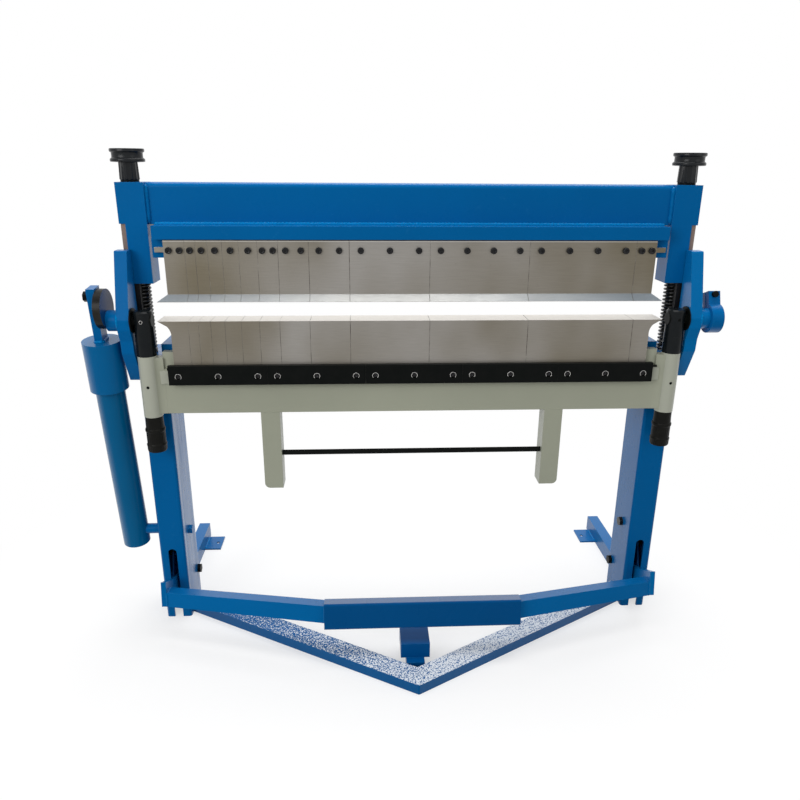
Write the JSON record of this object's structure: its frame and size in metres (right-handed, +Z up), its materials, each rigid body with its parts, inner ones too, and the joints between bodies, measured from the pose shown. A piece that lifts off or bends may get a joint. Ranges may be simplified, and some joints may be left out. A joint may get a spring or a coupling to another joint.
{
  "type": "foot operated box and pan folding machine",
  "caption": "Foot-operated sheet metal folder with segmented upper fingers, a hinged folding apron with hand adjusters, a treadle clamp and a side balance strut.",
  "frame": {"origin": "floor level under the middle of the whole machine's footprint", "axes": "+X along the blades to the right as seen from the front, +Y to the back, +Z up"},
  "size_m": [1.6184, 0.8232, 1.303],
  "materials": {
    "blue_paint": "gloss",
    "apron_paint": "satin",
    "blade_steel": "brushed",
    "black_steel": "satin",
    "black_plastic": "gloss",
    "spring_steel": "satin",
    "bare_steel": "brushed"
  },
  "bodies": {
    "frame": {"left_leg": "blue_paint", "right_leg": "blue_paint", "left_cheek_plate": "blue_paint", "right_cheek_plate": "blue_paint", "left_guide_bar": "bare_steel", "right_guide_bar": "bare_steel", "left_rear_foot": "blue_paint", "right_rear_foot": "blue_paint", "bed_beam": "blue_paint", "bed_end_caps": "blue_paint", "bed_backing_bar": "blue_paint", "bed_screws": "black_steel", "bed_blades": "blade_steel", "base_frame": "blue_paint", "pedal_stop": "blue_paint", "pedal_pivot_bolts": "black_steel", "leg_bolts": "black_steel", "strut_peg": "blue_paint"},
    "beam": {"clamping_beam": "blue_paint", "finger_plate": "blue_paint", "backing_bar": "blue_paint", "backing_strip": "blade_steel", "upper_fingers": "blade_steel", "finger_bolts": "black_steel", "left_end_block": "blue_paint", "right_end_block": "blue_paint", "left_pull_rod": "bare_steel", "right_pull_rod": "bare_steel", "return_springs": "spring_steel", "knob_washers": "bare_steel"},
    "left_height_knob": {"left_height_knob": "black_plastic"},
    "right_height_knob": {"right_height_knob": "black_plastic"},
    "folding_frame": {"left_hinge_post": "black_steel", "right_hinge_post": "black_steel", "left_pivot_shaft": "black_steel", "right_pivot_shaft": "black_steel", "pivot_flanges": "black_steel", "crank_disc": "black_steel", "shaft_collar": "blue_paint", "collar_bolt": "black_steel"},
    "apron": {"apron_beam": "apron_paint", "left_apron_sleeve": "apron_paint", "right_apron_sleeve": "apron_paint", "folding_blades": "blade_steel", "clamp_bars": "black_steel", "clamp_screws": "black_steel", "left_handle_arm": "apron_paint", "right_handle_arm": "apron_paint", "handle_rod": "black_steel"},
    "left_lower_knob": {"left_lower_knob": "black_plastic"},
    "right_lower_knob": {"right_lower_knob": "black_plastic"},
    "strut_lower": {"strut_tube": "blue_paint"},
    "strut_upper": {"strut_head": "blue_paint", "hanger_bar": "blue_paint", "crank_bolt": "black_steel"},
    "pedal": {"left_pedal_lever": "blue_paint", "right_pedal_lever": "blue_paint", "left_pedal_arm": "blue_paint", "right_pedal_arm": "blue_paint", "treadle": "blue_paint"}
  },
  "joints": [
    {"name": "beam_clamp", "type": "slide", "parent": "frame", "child": "beam", "axis": [0, 0, -1], "range_m": [0, 0.0445], "stiffness_N_per_m": 20000, "springref_m": -0.07, "deforming": ["return_springs"]},
    {"name": "pedal_press", "type": "hinge", "parent": "frame", "child": "pedal", "pos_m": [0.0249, 0.05161, 0.092], "axis": [1, 0, 0], "range_deg": [0, 6.3]},
    {"name": "left_height_turn", "type": "hinge", "parent": "beam", "child": "left_height_knob", "pos_m": [-0.6711, -0.01839, 1.28], "axis": [0, 0, 1], "continuous": true},
    {"name": "right_height_turn", "type": "hinge", "parent": "beam", "child": "right_height_knob", "pos_m": [0.7209, -0.01839, 1.28], "axis": [0, 0, 1], "continuous": true},
    {"name": "fold", "type": "hinge", "parent": "frame", "child": "folding_frame", "pos_m": [0.0249, -0.10839, 0.9], "axis": [-1, 0, 0], "range_deg": [0, 135]},
    {"name": "apron_adjust", "type": "slide", "parent": "folding_frame", "child": "apron", "axis": [0, 0, -1], "range_m": [0, 0.006]},
    {"name": "left_lower_turn", "type": "hinge", "parent": "apron", "child": "left_lower_knob", "pos_m": [-0.6489, -0.10839, 0.6], "axis": [0, 0, 1], "range_deg": [0, 1080]},
    {"name": "right_lower_turn", "type": "hinge", "parent": "apron", "child": "right_lower_knob", "pos_m": [0.6987, -0.10839, 0.6], "axis": [0, 0, 1], "range_deg": [0, 1080]},
    {"name": "strut_swing", "type": "hinge", "parent": "frame", "child": "strut_lower", "pos_m": [-0.7271, -0.03279, 0.279], "axis": [-1, 0, 0], "range_deg": [0, 3.06]},
    {"name": "strut_slide", "type": "slide", "parent": "strut_lower", "child": "strut_upper", "axis": [0, 0.1103, -0.9939], "range_m": [0, 0.10567]}
  ],
  "couplings": [
    {"joint": "pedal_press", "follows": "beam_clamp", "rad_per_m": 2.4699},
    {"joint": "left_lower_turn", "follows": "apron_adjust", "rad_per_m": 3141.5},
    {"joint": "right_lower_turn", "follows": "apron_adjust", "rad_per_m": 3141.5},
    {"joint": "strut_swing", "follows": "fold", "ratio": 0.022615},
    {"joint": "strut_slide", "follows": "fold", "m_per_rad": 0.044843}
  ]
}
